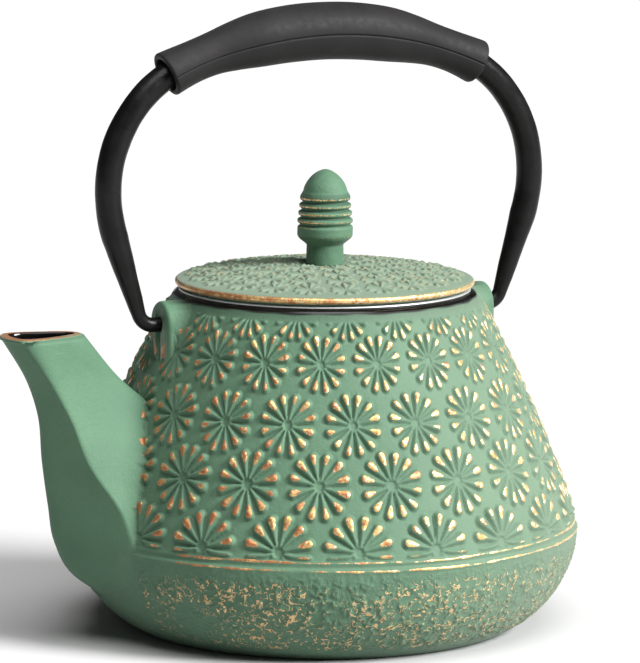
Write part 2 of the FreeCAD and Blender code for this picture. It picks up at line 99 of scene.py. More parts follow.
# Lid, knob and basket.
SEAT = LIP_HEIGHT + 0.9
LID_RADIUS, LID_CROWN, LID_DOME = 45.6, 6.7, 225.0
SKIRT_RADIUS, SKIRT_THICKNESS, SKIRT_DEPTH = 33.8, 3.0, 5.0
KNOB_FOOT = SEAT + LID_CROWN
KNOB_BARREL, KNOB_TOP = KNOB_FOOT + 8.4, KNOB_FOOT + 28.8
KNOB_CAP, BARREL_RADIUS, SCREW_RADIUS, SCREW_DEPTH = KNOB_TOP - 6.6, 8.45, 2.1, 9.0
RIBS, RIB_START, RIB_STEP = 4, 3.2, 2.3
BASKET_RADIUS, BASKET_FLOOR = 35.0, 50.0


# ---------------------------------------------------------------- outlines
def arc(start, end, radius, turn, count):
    """Points along an arc; turn is +1 where its centre is to the left of the way."""
    start, end = np.array(start, float), np.array(end, float)
    chord = end - start
    half = np.hypot(*chord) / 2
    side = np.array([-chord[1], chord[0]]) / (2 * half) * turn
    centre = (start + end) / 2 + side * math.sqrt(radius ** 2 - half ** 2)
    first = math.atan2(*(start - centre)[::-1])
    sweep = 2 * math.asin(half / radius) * turn
    angles = first + np.linspace(0, 1, count) * sweep
    return centre + radius * np.stack([np.cos(angles), np.sin(angles)], 1)


def chain(*runs):
    """Join runs of points, leaving out repeats."""
    points = np.concatenate([np.array(run, float).reshape(-1, 2) for run in runs])
    keep = np.ones(len(points), bool)
    keep[1:] = np.hypot(*(np.diff(points, axis=0).T)) > 1e-6
    return points[keep]


def rounded(points, radius, steps=5):
    """Round every inner corner of an open chain by about that radius."""
    points = np.array(points, float)
    out = [points[0]]
    for before, corner, after in zip(points, points[1:], points[2:]):
        reach_a = min(radius, np.hypot(*(corner - before)) * 0.48)
        reach_b = min(radius, np.hypot(*(after - corner)) * 0.48)
        a = corner + (before - corner) / np.hypot(*(corner - before)) * reach_a
        b = corner + (after - corner) / np.hypot(*(after - corner)) * reach_b
        for t in np.linspace(0, 1, steps):
            out.append((1 - t) ** 2 * a + 2 * t * (1 - t) * corner + t * t * b)
    out.append(points[-1])
    return np.array(out)


def spread(points, step):
    """Put extra points on long runs so that none is longer than step."""
    out = [points[0]]
    for a, b in zip(points, points[1:]):
        count = max(1, int(math.ceil(np.hypot(*(b - a)) / step)))
        out += [a + (b - a) * k / count for k in range(1, count + 1)]
    return np.array(out)


def eased(places, values, at):
    """The values at one place, on a smooth curve through those at the given places."""
    slopes = np.gradient(values, places, axis=0)
    k = min(max(int(np.searchsorted(places, at, "right")) - 1, 0), len(places) - 2)
    gap = places[k + 1] - places[k]
    t = (at - places[k]) / gap
    return ((2 * t ** 3 - 3 * t ** 2 + 1) * values[k] + (t ** 3 - 2 * t ** 2 + t) * gap * slopes[k]
            + (-2 * t ** 3 + 3 * t ** 2) * values[k + 1] + (t ** 3 - t ** 2) * gap * slopes[k + 1])


SHOULDER = arc((BELLY_RADIUS, BELLY_HEIGHT), (SHOULDER_RADIUS, SHOULDER_HEIGHT),
               SHOULDER_ARC, 1, 192)
BELLY = arc((FOOT_RADIUS, 0), (BELLY_RADIUS, BELLY_HEIGHT), BELLY_ARC, 1, 92)
SIDE = chain(BELLY, SHOULDER)
SIDE_WAY = np.concatenate([[0], np.cumsum(np.hypot(*np.diff(SIDE, axis=0).T))])


def side_at(way):
    """Radius and height of the body's outline at a distance along it from the foot."""
    return np.interp(way, SIDE_WAY, SIDE[:, 0]), np.interp(way, SIDE_WAY, SIDE[:, 1])


def way_at(height):
    return np.interp(height, SIDE[:, 1], SIDE_WAY)


def side_normal(way):
    r_a, z_a = side_at(np.clip(way - 0.5, 0, SIDE_WAY[-1]))
    r_b, z_b = side_at(np.clip(way + 0.5, 0, SIDE_WAY[-1]))
    length = np.hypot(r_b - r_a, z_b - z_a)
    return (z_b - z_a) / length, -(r_b - r_a) / length


# ---------------------------------------------------------------- relief
def smooth(low, high, x):
    t = np.clip((x - low) / (high - low), 0, 1)
    return t * t * (3 - 2 * t)


def chance(*keys):
    """A repeatable number from 0 to 1 for each set of keys."""
    weights = (12.9898, 78.233, 37.719)
    mixed = sum(np.asarray(key) * weight for key, weight in zip(keys, weights))
    return np.mod(np.abs(np.sin(mixed) * 43758.5453), 1)


def star(across, up, reach, key, petals=PETALS):
    """Height from 0 to 1 and gold from 0 to 1 of one star of carrot-shaped petals."""
    distance = np.hypot(across, up)
    pitch = 2 * math.pi / petals
    angle = np.arctan2(up, across) + (chance(key) - 0.5) * 0.08
    petal = np.floor(angle / pitch)
    offset = angle - (petal + 0.5) * pitch
    along, aside = distance * np.cos(offset), distance * np.sin(offset)
    length = reach * (PETAL_END + 0.06 * (chance(key, petal) - 0.5))
    start = PETAL_START * reach
    share = np.clip((along - start) / (length - start), 0, 1)
    width = reach * (PETAL_WAIST + PETAL_FLARE * share ** 1.3)
    beyond = np.where(along > length, along - length, np.where(along < start, start - along, 0))
    away = np.hypot(aside, beyond) / width
    crest = np.clip(1 - away ** 2, 0, 1)
    height = np.sqrt(crest) * (0.3 + 0.7 * width / (0.165 * reach))
    height *= 0.9 + 0.2 * chance(petal, key, 3.1)
    height -= 0.16 * (1 - smooth(0.75, 1.1, distance / reach)) * (1 - np.clip(crest * 4, 0, 1))
    gold = crest ** 1.3 * smooth(0.25, 0.95, share) * (0.72 + 0.45 * chance(key, petal, 7.7))
    return height, gold


def body_relief(turn, way, height_of):
    """Relief in millimetres and gold from 0 to 1 on the body; turn is the angle from the spout."""
    relief, gold = np.zeros_like(turn), np.zeros_like(turn)
    pitch = 2 * math.pi / STARS_ROUND
    radius, _ = side_at(way)
    for row, (height, reach, shift) in enumerate(STAR_ROWS):
        near = np.abs(way - way_at(height)) < reach * 1.1
        number = np.round(turn[near] / pitch - shift)
        wide = side_at(way_at(height))[0] * pitch / 2 * STAR_WIDTH
        across = (turn[near] - (number + shift) * pitch) * radius[near] * reach / wide
        up = way[near] - way_at(height)
        key = np.mod(number, STARS_ROUND) * 1.7 + row * 5.3
        high, bright = star(across, up, reach, key)
        high *= PETAL_HEIGHT * reach / USUAL_REACH
        relief[near] = np.where(np.abs(high) > np.abs(relief[near]), high, relief[near])
        gold[near] = np.maximum(gold[near], bright)
    field = smooth(RELIEF_FOOT, RELIEF_FOOT + 0.8, height_of)
    field *= 1 - smooth(RELIEF_TOP - 0.8, RELIEF_TOP, height_of)
    relief *= field
    gold *= field

    # two beads with a groove between them, round the widest place
    from_spout = np.abs(np.mod(turn + math.pi, 2 * math.pi) - math.pi)
    for rise, size, start in BEADS:
        drift = sum(np.sin(turn * rate + start * rate) / rate for rate in (5, 13, 31, 67)) * 0.9
        patch = sum(np.sin(turn * rate + start + rate) for rate in (3, 7, 17, 43, 89)) / 5
        bead = np.exp(-((way - way_at(BELLY_HEIGHT + rise) - drift) / (0.40 + 0.12 * patch)) ** 2)
        relief += size * bead * (0.85 + 0.5 * patch)
        gold = np.maximum(gold, bead * (0.80 + 0.45 * patch) * smooth(0.40, 0.62, from_spout))
    relief -= GROOVE_DEPTH * np.exp(-((way - way_at(BELLY_HEIGHT + GROOVE)) / 0.5) ** 2)
    return relief, gold


def band_mask(turn, height):
    """Where the belly below the beads is left rough: not by the spout and not at the foot."""
    from_spout = np.abs(np.mod(turn + math.pi, 2 * math.pi) - math.pi)
    from_foot = smooth(2.0, 5.0, height) * (1 - smooth(24.0, 30.0, height) * 0.75)
    return smooth(0.24, 0.34, from_spout) * from_foot * (height < 31)


def wrinkles(points):
    """Short raised worms, as on a rough sand casting: one value from 0 to 1 for each point."""
    noise.seed_set(1)       # without a seed, noise_vector is different on each run
    out = np.zeros(len(points))
    for index, point in enumerate(points):
        place = Vector(point) * 0.55
        place += noise.noise_vector(place * 0.6) * 0.8
        ridge = 1 - min(1.0, abs(noise.noise(place)) * 3.2)
        out[index] = ridge * min(1.0, max(0.0, noise.noise(place * 0.7 + Vector((9, 2, 5))) * 3 + 0.75))
    return out


def grain(points, scale):
    return np.array([noise.noise(Vector(point) * scale) for point in points])


# ---------------------------------------------------------------- meshes
def mesh_object(name, points, faces, smooth_shading=True):
    mesh = bpy.data.meshes.new(name)
    mesh.from_pydata([tuple(p) for p in np.asarray(points) * MM], [], faces)
    mesh.validate()
    mesh.update()
    thing = bpy.data.objects.new(name, mesh)
    bpy.context.scene.collection.objects.link(thing)
    if smooth_shading:
        mesh.polygons.foreach_set("use_smooth", [True] * len(mesh.polygons))
    return thing


def ring_faces(rings, around, closed):
    """Quads between rings of points; closed joins the last ring to the first."""
    faces = []
    for ring in range(rings if closed else rings - 1):
        a, b = ring * around, (ring + 1) % rings * around
        for k in range(around):
            n = (k + 1) % around
            faces.append((a + k, a + n, b + n, b + k))
    return faces


def capped_faces(points, rings, around):
    """Faces of stacked rings; the last two points are the middles of the first and last."""
    faces = ring_faces(rings, around, False)
    first, last = len(points) - 2, (rings - 1) * around
    for k in range(around):
        n = (k + 1) % around
        faces.append((first, n, k))
        faces.append((first + 1, last + k, last + n))
    return faces


def turned(name, outline, around, closed=False, shape=None):
    """Turn an outline of (radius, height) about Z.

    An outline that starts and ends on the axis gets a pole at each end, and a closed one is
    a ring.  shape may move the points: it takes and returns the array [ring, around, xyz].
    """
    outline = np.asarray(outline, float)
    body = outline if closed else outline[1:-1]
    angles = np.linspace(0, 2 * math.pi, around, endpoint=False)
    grid = np.empty((len(body), around, 3))
    grid[..., 0] = body[:, :1] * np.cos(angles)
    grid[..., 1] = body[:, :1] * np.sin(angles)
    grid[..., 2] = body[:, 1:]
    if shape:
        grid = shape(grid)
    points = grid.reshape(-1, 3)
    if closed:
        return mesh_object(name, points, ring_faces(len(body), around, True))
    points = np.concatenate([points, [[0, 0, outline[0][1]], [0, 0, outline[-1][1]]]])
    return mesh_object(name, points, capped_faces(points, len(body), around))


def tube(name, centres, frames, radii, angles):
    """A closed bar: rings of given radius across a path, with a flat cap at each end."""
    rings = [c + r * (np.outer(np.cos(angles), f[0]) + np.outer(np.sin(angles), f[1]))
             for c, f, r in zip(centres, frames, radii)]
    points = np.concatenate(rings + [[centres[0]], [centres[-1]]])
    return mesh_object(name, points, capped_faces(points, len(rings), len(angles)))


def loft(name, sections):
    """Level closed outlines of equal length, stacked and capped."""
    points = np.concatenate(list(sections) + [[s.mean(0)] for s in (sections[0], sections[-1])])
    return mesh_object(name, points, capped_faces(points, len(sections), len(sections[0])))


def outward(thing):
    """Make every face of a closed mesh look outward."""
    work = bmesh.new()
    work.from_mesh(thing.data)
    bmesh.ops.recalc_face_normals(work, faces=work.faces)
    work.to_mesh(thing.data)
    work.free()
    return thing


def cut_or_join(base, tool, operation):
    """Cut tool from base or join it on, and remove tool."""
    outward(tool)
    step = base.modifiers.new("step", "BOOLEAN")
    step.operation, step.object, step.solver = operation, tool, "MANIFOLD"
    step.material_mode = "TRANSFER"
    apply_modifiers(base)
    bpy.data.objects.remove(tool, do_unlink=True)


def apply_modifiers(thing):
    graph = bpy.context.evaluated_depsgraph_get()
    graph.update()
    mesh = bpy.data.meshes.new_from_object(thing.evaluated_get(graph), depsgraph=graph)
    old = thing.data
    thing.modifiers.clear()
    thing.data = mesh
    bpy.data.meshes.remove(old)


def points_of(thing):
    flat = np.empty(len(thing.data.vertices) * 3)
    thing.data.vertices.foreach_get("co", flat)
    return flat.reshape(-1, 3) / MM


def set_values(thing, **given):
    """Store five numbers for each point, for the patina to read; 0 where none is given."""
    for name in ("wear", "hollow", "dust", "band", "black"):
        values = np.zeros(len(thing.data.vertices), np.float32) + given.get(name, 0.0)
        layer = thing.data.attributes.new(name, "FLOAT", "POINT")
        layer.data.foreach_set("value", values.astype(np.float32))


# ---------------------------------------------------------------- materials
class Shade:
    """A small helper that builds one node material."""

    def __init__(self, name, **settings):
        self.material = bpy.data.materials.new(name)
        self.material.use_nodes = True
        self.tree = self.material.node_tree
        self.shader = self.tree.nodes["Principled BSDF"]
        for socket, value in settings.items():
            self.shader.inputs[socket.replace("_", " ")].default_value = value
        self.place = self.node("ShaderNodeTexCoord").outputs["Object"]

    def node(self, kind, **settings):
        node = self.tree.nodes.new(kind)
        for key, value in settings.items():
            setattr(node, key, value)
        return node

    def link(self, source, target):
        self.tree.links.new(source, target)

    def noise(self, scale, detail=4.0, rough=0.55, stretch=None, warp=0.0):
        node = self.node("ShaderNodeTexNoise")
        node.inputs["Scale"].default_value = scale
        node.inputs["Detail"].default_value = detail
        node.inputs["Roughness"].default_value = rough
        node.inputs["Distortion"].default_value = warp
        if stretch:
            mapping = self.node("ShaderNodeMapping")
            mapping.inputs["Scale"].default_value = stretch
            self.link(self.place, mapping.inputs["Vector"])
            self.link(mapping.outputs["Vector"], node.inputs["Vector"])
        else:
            self.link(self.place, node.inputs["Vector"])
        return node.outputs["Fac"]

    def ramp(self, source, stops):
        """Colour or grey from stops of (place, value)."""
        node = self.node("ShaderNodeValToRGB")
        while len(node.color_ramp.elements) < len(stops):
            node.color_ramp.elements.new(0.5)
        for element, (place, value) in zip(node.color_ramp.elements, stops):
            element.position = place
            element.color = (value, value, value, 1) if isinstance(value, float) else (*value, 1)
        self.link(source, node.inputs["Fac"])
        return node.outputs["Color"]

    def math(self, operation, a, b, clamp=False):
        node = self.node("ShaderNodeMath", operation=operation, use_clamp=clamp)
        for socket, value in zip(node.inputs, (a, b)):
            if isinstance(value, (int, float)):
                socket.default_value = value
            else:
                self.link(value, socket)
        return node.outputs["Value"]

    def mix(self, share, a, b):
        node = self.node("ShaderNodeMix", data_type="RGBA")
        for socket, value in ((node.inputs[0], share), (node.inputs[6], a), (node.inputs[7], b)):
            if isinstance(value, tuple):
                socket.default_value = (*value, 1)
            elif isinstance(value, (int, float)):
                socket.default_value = value
            else:
                self.link(value, socket)
        return node.outputs[2]

    def attribute(self, name):
        return self.node("ShaderNodeAttribute", attribute_name=name).outputs["Fac"]

    def bump(self, height, strength, distance):
        node = self.node("ShaderNodeBump")
        node.inputs["Strength"].default_value = strength
        node.inputs["Distance"].default_value = distance
        self.link(height, node.inputs["Height"])
        self.link(node.outputs["Normal"], self.shader.inputs["Normal"])

    def colour(self, source):
        self.link(source, self.shader.inputs["Base Color"])

    def rough(self, source):
        self.link(source, self.shader.inputs["Roughness"])


GREEN_LIGHT = (0.080, 0.160, 0.096)
GREEN_MID = (0.058, 0.128, 0.076)
# the last green is painted shade: the paint as it looks in shade
GREEN_PAINTED_SHADE = (0.024, 0.058, 0.036)
PALE_DUST_AND_SHEEN, TAN = (0.21, 0.24, 0.185), (0.60, 0.43, 0.22)
GOLD, COPPER, CREAM = (0.62, 0.42, 0.17), (0.42, 0.17, 0.07), (0.86, 0.78, 0.58)
ENAMEL_BLACK = (0.002, 0.002, 0.002)


def patina_material():
    """Matte green paint with gold rubbed onto whatever stands proud."""
    m = Shade("green_patina", Specular_IOR_Level=0.22, Sheen_Weight=0.12, Sheen_Roughness=0.45,
              Sheen_Tint=(0.85, 0.9, 0.82, 1))
    tone = m.ramp(m.noise(38, 5), [(0.3, GREEN_MID), (0.7, GREEN_LIGHT)])
    speck = m.ramp(m.noise(900, 3), [(0.35, 0.0), (0.62, 1.0)])
    green = m.mix(m.math("MULTIPLY", speck, 0.3), tone, GREEN_MID)
    # painted shade: the shaded green laid under the lid's edge and in the knob's grooves
    green = m.mix(m.attribute("hollow"), green, GREEN_PAINTED_SHADE)
    # pale dust plus a painted sheen: greyer toward +X on the body, the side the key light falls on, and
    # on the lid's top
    green = m.mix(m.attribute("dust"), green, PALE_DUST_AND_SHEEN)

    # worms on the rough band, broken into short pieces
    line = m.math("ABSOLUTE", m.math("SUBTRACT", m.noise(410, 1.2, 0.5, warp=0.7), 0.5), 0)
    worm = m.ramp(line, [(0.020, 1.0), (0.058, 0.0)])
    gate = m.ramp(m.noise(560, 1), [(0.47, 0.0), (0.53, 1.0)])
    thick = m.ramp(m.noise(48, 2), [(0.28, 0.55), (0.52, 1.0)])
    fleck = m.math("MULTIPLY", m.math("MULTIPLY", worm, gate),
                   m.math("MULTIPLY", m.attribute("band"), thick))

    # where the paint is worn through to metal
    patchy = m.math("SUBTRACT", m.noise(1500, 4, 0.7), 0.5)
    drift = m.math("SUBTRACT", m.noise(60, 2), 0.5)
    level = m.math("ADD", m.attribute("wear"), m.math("MULTIPLY", patchy, 0.75))
    level = m.math("ADD", level, m.math("MULTIPLY", drift, 0.5))
    level = m.math("MAXIMUM", level, m.math("MULTIPLY", fleck, 0.80))
    worn = m.ramp(level, [(0.50, 0.0), (0.63, 1.0)])

    # the metal goes from copper to gold to cream at random, with painted light and shade on top: paler
    # and more golden toward +X, the lit side, and more copper toward -X, the shaded side
    across = m.node("ShaderNodeSeparateXYZ")
    m.link(m.place, across.inputs["Vector"])
    painted_light_by_x = m.math("MULTIPLY", across.outputs["X"], 1.5)
    blotch = m.math("ADD", m.math("MULTIPLY", m.noise(650, 3, 0.6), 0.6),
                    m.math("MULTIPLY", m.noise(160, 3), 0.4))
    golden = m.ramp(m.math("ADD", blotch, painted_light_by_x), [(0.42, 0.0), (0.52, 1.0)])
    metal = m.mix(golden, COPPER, GOLD)
    pale = m.math("ADD", m.noise(1000, 3, 0.6), m.math("MULTIPLY", painted_light_by_x, 0.8))
    metal = m.mix(m.ramp(pale, [(0.54, 0.0), (0.66, 0.8)]), metal, CREAM)
    metal = m.mix(m.math("MULTIPLY", m.attribute("band"), 0.7), metal, TAN)
    m.colour(m.mix(m.attribute("black"), m.mix(worn, green, metal), ENAMEL_BLACK))
    worn = m.math("MULTIPLY", worn, m.math("SUBTRACT", 1.0, m.attribute("black")))
    m.link(m.math("MULTIPLY", worn, 0.6), m.shader.inputs["Metallic"])
    m.rough(m.ramp(worn, [(0.0, 0.62), (1.0, 0.36)]))
    fine = m.math("ADD", m.noise(1400, 5, 0.65), m.math("MULTIPLY", m.noise(420, 3), 0.8))
    m.bump(m.math("ADD", fine, m.math("MULTIPLY", fleck, 1.6)), 0.5, 0.0003)
    return m.material


def enamel_material():
    m = Shade("black_enamel", Roughness=0.16, Specular_IOR_Level=0.32)
    m.colour(m.ramp(m.noise(260, 4), [(0.3, ENAMEL_BLACK), (0.75, (0.007, 0.0065, 0.006))]))
    m.bump(m.noise(210, 3), 0.25, 0.0004)
    return m.material


def black_tube_material():
    m = Shade("black_lacquer", Specular_IOR_Level=0.16)
    m.colour(m.ramp(m.noise(120, 5), [(0.3, (0.003, 0.0028, 0.0028)), (0.75, (0.008, 0.0075, 0.0075))]))
    m.rough(m.ramp(m.noise(300, 4), [(0.3, 0.26), (0.7, 0.38)]))
    m.bump(m.math("ADD", m.noise(900, 4), m.math("MULTIPLY", m.noise(160, 2), 1.5)), 0.22, 0.0003)
    return m.material


def grip_material():
    m = Shade("charcoal_silicone", Specular_IOR_Level=0.14, Sheen_Weight=0.03, Sheen_Roughness=0.5)
    m.colour(m.ramp(m.noise(70, 5), [(0.3, (0.0105, 0.0098, 0.0098)), (0.75, (0.0165, 0.0155, 0.0155))]))
    m.rough(m.ramp(m.noise(500, 4), [(0.3, 0.52), (0.7, 0.66)]))
    m.bump(m.noise(2200, 3, 0.7), 0.18, 0.00012)
    return m.material


def steel_material(name, stretch, tint=(0.80, 0.80, 0.80)):
    """Brushed stainless steel; stretch draws the brush marks out along one direction."""
    m = Shade(name, Metallic=0.6)
    marks = m.noise(900, 4, 0.7, stretch=stretch)
    darker = tuple(part * 0.82 for part in tint)
    m.colour(m.mix(m.ramp(marks, [(0.3, 0.0), (0.7, 1.0)]), darker, tint))
    m.rough(m.ramp(marks, [(0.3, 0.30), (0.7, 0.46)]))
    m.bump(marks, 0.12, 0.00008)
    return m.material


# ---------------------------------------------------------------- the pot
def spout_outline(section, inset=0.0):
    """One level outline of the spout as points, its five corners rounded."""
    height, keel, ridge, width, back, back_width, soft = section
    corners = np.array([(-keel, 0), (-ridge, -width), (-back, -back_width),
                        (-back, back_width), (-ridge, width)])
    softness = [min(1.0, soft + 0.25), soft, min(1.0, soft + 0.2), min(1.0, soft + 0.2), soft]
    middle = corners.mean(0)
    beside = (np.roll(corners, 1, 0) + np.roll(corners, -1, 0)) / 2
    # the keel and the ridges are set out a little, so that rounding leaves them where they were
    pull = 0.245 * np.array([softness[0], softness[1], 0, 0, softness[4]])[:, None]
    corners = (corners - pull * beside) / (1 - pull)
    points = []
    for k, corner in enumerate(corners):
        share = 0.49 * softness[k]
        a = corner + (corners[k - 1] - corner) * share
        b = corner + (corners[(k + 1) % 5] - corner) * share
        for t in np.linspace(0, 1, 7):
            points.append((1 - t) ** 2 * a + 2 * t * (1 - t) * corner + t * t * b)
        after = corners[(k + 1) % 5]
        after_a = after + (corner - after) * 0.49 * softness[(k + 1) % 5]
        points += [b + (after_a - b) * t for t in np.linspace(0, 1, 8)[1:-1]]
    points = np.array(points)
    if inset:
        reach = np.hypot(*(points - middle).T)[:, None]
        points = middle + (points - middle) * (1 - inset / reach)
    return np.column_stack([points, np.full(len(points), height)])


def between(sections):
    """Sections at even heights, on smooth curves through the given ones."""
    table = np.array(sections, float)
    heights = np.arange(table[0, 0], table[-1, 0], SECTION_STEP)
    return [(height, *eased(table[:, 0], table, height)[1:])
            for height in np.append(heights, table[-1, 0])]


def spout_solid():
    rows = between(SPOUT_SECTIONS)
    outlines = [spout_outline(row) for row in rows[:-1]]
    top = rows[-1]
    for drop, inset in ((0.9, 0.0), (0.35, 0.12), (0.08, 0.45), (0.0, 0.95)):
        outline = spout_outline(top, inset)
        outline[:, 2] = top[0] - drop
        outlines.append(outline)
    return loft("spout_solid", outlines)


def spout_passage():
    rows = []
    for height, keel, ridge, width, back, back_width, soft in SPOUT_SECTIONS[1:]:
        height = height + 2 * SPOUT_WALL if height < 25 else height
        back = back + SPOUT_WALL if height > 60 else back - 2 * SPOUT_WALL
        rows.append((height, keel - SPOUT_WALL * 1.35, ridge - SPOUT_WALL * 0.6, width - SPOUT_WALL,
                     back, max(back_width - SPOUT_WALL * 0.9, 2.4), min(1.0, soft + 0.25)))
    outlines = [spout_outline(row) for row in between(rows)[:-1]]
    for lift, inset in ((-0.9, 0.0), (-0.3, -0.15), (0.0, -0.5), (0.4, -0.8), (1.5, -0.9)):
        outline = spout_outline(rows[-1], inset)
        outline[:, 2] = rows[-1][0] + lift
        outlines.append(outline)
    return loft("spout_passage", outlines)


def body_solid(around):
    """The full body without its hollow, with stars, beads and the rough band in relief."""
    lip = rounded([SIDE[-1], (LIP_RADIUS, LIP_HEIGHT), (LIP_RADIUS - 3, LIP_HEIGHT)], 0.5)
    foot = [(0, 0), (FOOT_RADIUS * 0.5, 0), (FOOT_RADIUS - 1.5, 0), (FOOT_RADIUS - 0.6, 0)]
    outline = chain(foot, SIDE, lip, [(0, LIP_HEIGHT)])
    first = len(foot)

    def shape(grid):
        count = len(SIDE)
        area = grid[first - 1:first - 1 + count]
        way = np.repeat(SIDE_WAY[:, None], around, 1)
        turn = np.arctan2(area[..., 1], -area[..., 0])
        height = np.repeat(SIDE[:, 1:], around, 1)
        relief, _ = body_relief(turn.ravel(), way.ravel(), height.ravel())
        relief = relief.reshape(way.shape)
        mask = band_mask(turn, height)
        rough = mask > 0.02
        relief[rough] += mask[rough] * ROUGHNESS * (wrinkles(area[rough]) - 0.3)
        normal_r, normal_z = side_normal(way)
        radius = np.hypot(area[..., 0], area[..., 1])
        scale = 1 + relief * normal_r / radius
        area[..., 0] *= scale
        area[..., 1] *= scale
        area[..., 2] += relief * normal_z
        area[..., 2] = np.maximum(area[..., 2], 0)
        return grid

    return turned("pot_body", outline, around, shape=shape)


def cavity_solid():
    inner_lip = LIP_HEIGHT - LIP_DEPTH
    outline = chain(
        [(0, FLOOR)],
        arc((FOOT_RADIUS, FLOOR), (BELLY_RADIUS - IRON_WALL, BELLY_HEIGHT),
            BELLY_ARC - IRON_WALL, 1, 16),
        arc((BELLY_RADIUS - IRON_WALL, BELLY_HEIGHT), (SHOULDER_RADIUS - IRON_WALL, inner_lip),
            SHOULDER_ARC - IRON_WALL, 1, 24),
        rounded([(SHOULDER_RADIUS - IRON_WALL, inner_lip), (MOUTH_RADIUS, inner_lip),
                 (MOUTH_RADIUS, LIP_HEIGHT), (MOUTH_RADIUS + 1.2, LIP_HEIGHT + 0.5)], 0.9),
        [(MOUTH_RADIUS + 1.2, LIP_HEIGHT + 3), (0, LIP_HEIGHT + 3)])
    return turned("cavity", outline, 192)


def lug_solid(side):
    """Tab with a round top, its outer edges eased."""
    angles = np.linspace(0, math.pi, 21)
    outline = [(LUG_RADIUS * math.cos(a), HINGE_HEIGHT + LUG_RADIUS * math.sin(a)) for a in angles]
    outline += [(-LUG_RADIUS, HINGE_HEIGHT - LUG_DROP), (LUG_RADIUS, HINGE_HEIGHT - LUG_DROP)]
    points = [(side * x, y, z) for x in (LUG_REACH, LUG_ROOT) for y, z in outline]
    count = len(outline)
    faces = [tuple(range(count)), tuple(range(2 * count - 1, count - 1, -1))]
    faces += [(k, count + k, count + (k + 1) % count, (k + 1) % count) for k in range(count)]
    lug = outward(mesh_object("lug", points, faces))
    work = bmesh.new()
    work.from_mesh(lug.data)
    edges = [e for e in work.edges
             if all(abs(abs(v.co.x) / MM - LUG_REACH) < 0.01 for v in e.verts)]
    bmesh.ops.bevel(work, geom=edges, offset=1.3 * MM, segments=5, profile=0.5, affect="EDGES")
    work.to_mesh(lug.data)
    work.free()
    return lug


def rod_x(name, start, end, radius, height):
    """A round bar along X."""
    frames = [(np.array([0, 1, 0]), np.array([0, 0, 1]))] * 2
    centres = [np.array([start, 0.0, height]), np.array([end, 0.0, height])]
    angles = np.linspace(0, 2 * math.pi, 48, endpoint=False)
    return tube(name, centres, frames, [radius, radius], angles)


def block(name, low, high):
    points = [(x, y, z) for x in (low[0], high[0]) for y in (low[1], high[1])
              for z in (low[2], high[2])]
    faces = [(0, 1, 3, 2), (4, 6, 7, 5), (0, 4, 5, 1), (2, 3, 7, 6), (0, 2, 6, 4), (1, 5, 7, 3)]
    return mesh_object(name, points, faces)


def pot(patina, enamel):
    body = outward(body_solid(1152))
    body.data.materials.append(patina)
    body.data.materials.append(enamel)
    for tool in (spout_solid(), lug_solid(-1), lug_solid(1)):
        tool.data.materials.append(patina)
        cut_or_join(body, tool, "UNION")
    for tool in (cavity_solid(), spout_passage()):
        tool.data.materials.append(enamel)
        cut_or_join(body, tool, "DIFFERENCE")
    for side in (-1, 1):
        hole = rod_x("hole", side * HOLE_END, side * (LUG_REACH + 2), HOLE_RADIUS, HINGE_HEIGHT)
        near, far = sorted((side * (LUG_REACH - SLOT_DEPTH), side * (LUG_REACH + 1)))
        slot = block("slot", (near, -SLOT_WIDTH / 2, HINGE_HEIGHT - SLOT_LENGTH),
                     (far, SLOT_WIDTH / 2, HINGE_HEIGHT))
        for tool in (hole, slot):
            tool.data.materials.append(patina)
            cut_or_join(body, tool, "DIFFERENCE")
    finish_pot(body)
    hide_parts("pot_casting")
    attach(body, "pot")


def finish_pot(body):
    """Paint values for each point of the finished casting, and enamel on its lip."""
    points = points_of(body)
    radius, height = np.hypot(points[:, 0], points[:, 1]), points[:, 2]
    turn = np.arctan2(points[:, 1], -points[:, 0])
    way = way_at(height)
    base_r, base_z = side_at(way)
    normal_r, normal_z = side_normal(way)
    stands = (radius - base_r) * normal_r + (height - base_z) * normal_z
    way = way + (radius - base_r) * -normal_z + (height - base_z) * normal_r
    on_body = (np.abs(stands) < 1.5) & (height > 0.5)
    _, gold = body_relief(turn, way, height)
    mask = band_mask(turn, height)
    gold = np.where(height < BELLY_HEIGHT - 0.8, mask * smooth(0.0, 0.26, stands) * 0.56, gold)
    gold = np.where(on_body, gold, 0.0)
    tip = SPOUT_SECTIONS[-1][0]
    at_tip = (points[:, 0] < -78) & (height > tip - 1.1)
    gold = np.where(at_tip, smooth(tip - 0.6, tip - 0.1, height) * 0.66, gold)
    edge = 101.15 + 0.12 * np.sin(turn * 9) + 0.12 * np.sin(turn * 23 + 1)
    set_values(body, wear=gold,
               # painted shade on the shoulder just under the lid's edge
               hollow=smooth(98.0, 101.0, height) * (radius < 50) * 0.5,
               # a little pale dust all over, and a painted sheen that grows toward +X, the lit side
               dust=np.where(on_body, 0.06 + 0.34 * smooth(-40, 75, points[:, 0]), 0.0),
               band=np.where(on_body & (height < BELLY_HEIGHT - 1.5), mask, 0),
               black=smooth(edge - 0.25, edge + 0.25, height) * (radius < 47.5))

    centres = np.empty(len(body.data.polygons) * 3)
    body.data.polygons.foreach_get("center", centres)
    centres = centres.reshape(-1, 3) / MM
    lip = centres[:, 2] > SHOULDER_HEIGHT + 0.05
    lip &= np.hypot(centres[:, 0], centres[:, 1]) < SHOULDER_RADIUS + 0.2
    index = np.empty(len(body.data.polygons), np.int32)
    body.data.polygons.foreach_get("material_index", index)
    index[lip] = 1
    body.data.polygons.foreach_set("material_index", index)


# ---------------------------------------------------------------- the lid and its knob
LID_RINGS = [(11.6, 7), (20.4, 12), (29.2, 17), (37.8, 22)]     # radius, and how many stars
LID_STAR, LID_PETALS, LID_PETAL_HEIGHT = 4.7, 10, 0.7
LID_EDGE = 44.0         # where the dome meets the bead


